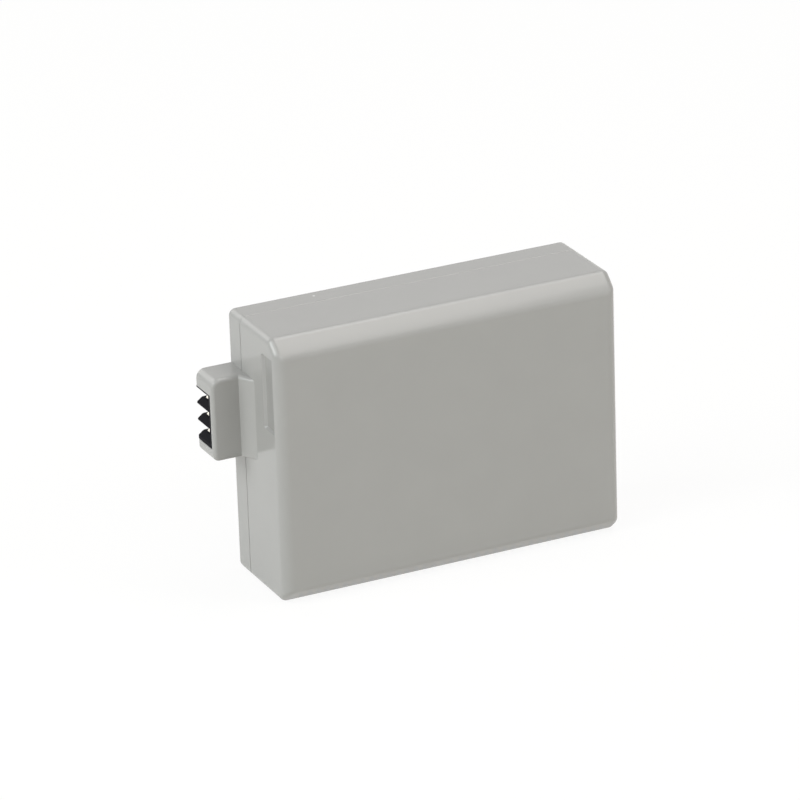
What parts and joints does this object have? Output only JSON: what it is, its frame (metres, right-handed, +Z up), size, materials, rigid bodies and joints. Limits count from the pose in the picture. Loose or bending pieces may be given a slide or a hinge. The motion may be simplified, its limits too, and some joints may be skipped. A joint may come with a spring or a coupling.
{
  "type": "camera battery",
  "caption": "Flat rechargeable camera battery pack in moulded shells, with chamfered front edges and a slotted terminal tab on one end.",
  "frame": {"origin": "middle of the pack's footprint, terminal tab included, on the surface that it stands on", "axes": "+X along the length, away from the terminal tab; +Y from the big front face to the back face; +Z up"},
  "size_m": [0.0532, 0.0148, 0.036],
  "materials": {
    "case_plastic": "fine satin moulded grey plastic",
    "block_plastic": "black moulded plastic",
    "contact_metal": "gold-plated spring metal",
    "board_laminate": "green circuit board",
    "chip_plastic": "black moulded chip package",
    "chip_ceramic": "small ceramic chips",
    "cell_aluminium": "drawn satin can",
    "seal_plastic": "dark sealing ring",
    "terminal_metal": "nickel-plated terminal",
    "insulating_paper": "thin insulating paper",
    "nickel": "thin nickel strip",
    "adhesive_film": "thin double-sided film",
    "foam": "soft black foam"
  },
  "bodies": {
    "root": {"front_case": "case_plastic", "rear_cover": "case_plastic", "terminal_block": "block_plastic", "negative_contact": "contact_metal", "sense_contact": "contact_metal", "positive_contact": "contact_metal", "circuit_board": "board_laminate", "mosfet_pack": "chip_plastic", "protection_chip": "chip_plastic", "chip_fuse": "chip_ceramic", "thermistor": "chip_ceramic", "chip_resistors": "chip_ceramic", "chip_capacitors": "chip_ceramic", "front_cell": "cell_aluminium", "rear_cell": "cell_aluminium", "front_cell_gasket": "seal_plastic", "rear_cell_gasket": "seal_plastic", "front_cell_rivet": "terminal_metal", "rear_cell_rivet": "terminal_metal", "front_cell_pad": "terminal_metal", "rear_cell_pad": "terminal_metal", "cell_top_paper": "insulating_paper", "series_link": "nickel", "negative_strip": "nickel", "positive_strip": "nickel", "cell_tape": "adhesive_film", "front_adhesive_pad": "adhesive_film", "rear_foam_pad": "foam", "end_cushion": "foam"}
  },
  "joints": []
}
